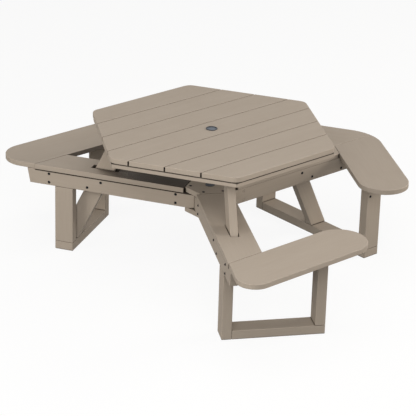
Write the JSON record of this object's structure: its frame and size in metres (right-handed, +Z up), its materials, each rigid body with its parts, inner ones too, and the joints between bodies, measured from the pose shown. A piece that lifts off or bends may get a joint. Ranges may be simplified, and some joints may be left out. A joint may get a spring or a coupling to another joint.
{
  "type": "picnic table",
  "caption": "Hexagonal picnic table of plastic lumber on three arms that carry attached bench seats, with one side left open for a wheelchair and a capped umbrella hole.",
  "frame": {"origin": "on the ground under the middle of the whole table's bounding box; the middle of the six-sided top stands 0.2501 m towards -X from it", "axes": "+Z up; X runs along the boards of the top; -X points to the open side for the wheelchair, +X to the arm with two seat planks; Y is the longest extent"},
  "size_m": [1.7163, 1.97, 0.7398],
  "materials": {
    "lumber": "satin, lightly embossed weathered-wood taupe",
    "hardware": "black coated steel",
    "cap": "dark blue-grey moulded plastic"
  },
  "bodies": {
    "table": {"deck_a": "lumber", "deck_b": "lumber", "deck_c": "lumber", "hub_plate_lower": "lumber", "hub_plate_upper": "lumber", "inner_rail_a_closed": "lumber", "inner_rail_a_open": "lumber", "inner_rail_b_closed": "lumber", "inner_rail_b_open": "lumber", "inner_rail_c_left": "lumber", "inner_rail_c_right": "lumber", "post_a_closed": "lumber", "post_a_open": "lumber", "post_b_closed": "lumber", "post_b_open": "lumber", "post_c_left": "lumber", "post_c_right": "lumber", "rail_a_closed": "lumber", "rail_a_open": "lumber", "rail_b_closed": "lumber", "rail_b_open": "lumber", "rail_c_left": "lumber", "rail_c_right": "lumber", "seat_a": "lumber", "seat_b": "lumber", "seat_c_left": "lumber", "seat_c_right": "lumber", "skid_a": "lumber", "skid_b": "lumber", "skid_c": "lumber", "strut_a": "lumber", "strut_b": "lumber", "strut_bolt_a_lower": "hardware", "strut_bolt_a_upper": "hardware", "strut_bolt_b_lower": "hardware", "strut_bolt_b_upper": "hardware", "strut_bolt_c_lower": "hardware", "strut_bolt_c_upper": "hardware", "strut_c": "lumber", "top_bearer_a": "lumber", "top_bearer_b": "lumber", "top_bearer_c": "lumber", "top_board_1": "lumber", "top_board_2": "lumber", "top_board_3": "lumber", "top_board_4": "lumber", "top_board_5": "lumber", "top_board_6": "lumber", "top_board_7": "lumber", "top_rim_1": "lumber", "top_rim_2": "lumber", "top_rim_3": "lumber", "top_rim_4": "lumber", "top_rim_5": "lumber", "top_rim_6": "lumber"},
    "top_cap": {"cap_top": "cap"},
    "hub_cap": {"cap_hub": "cap"}
  },
  "joints": [
    {"name": "top_cap_lift", "type": "slide", "parent": "table", "child": "top_cap", "axis": [0, 0, 1], "range_m": [0, 0.05]},
    {"name": "hub_cap_lift", "type": "slide", "parent": "table", "child": "hub_cap", "axis": [0, 0, 1], "range_m": [0, 0.05]}
  ]
}
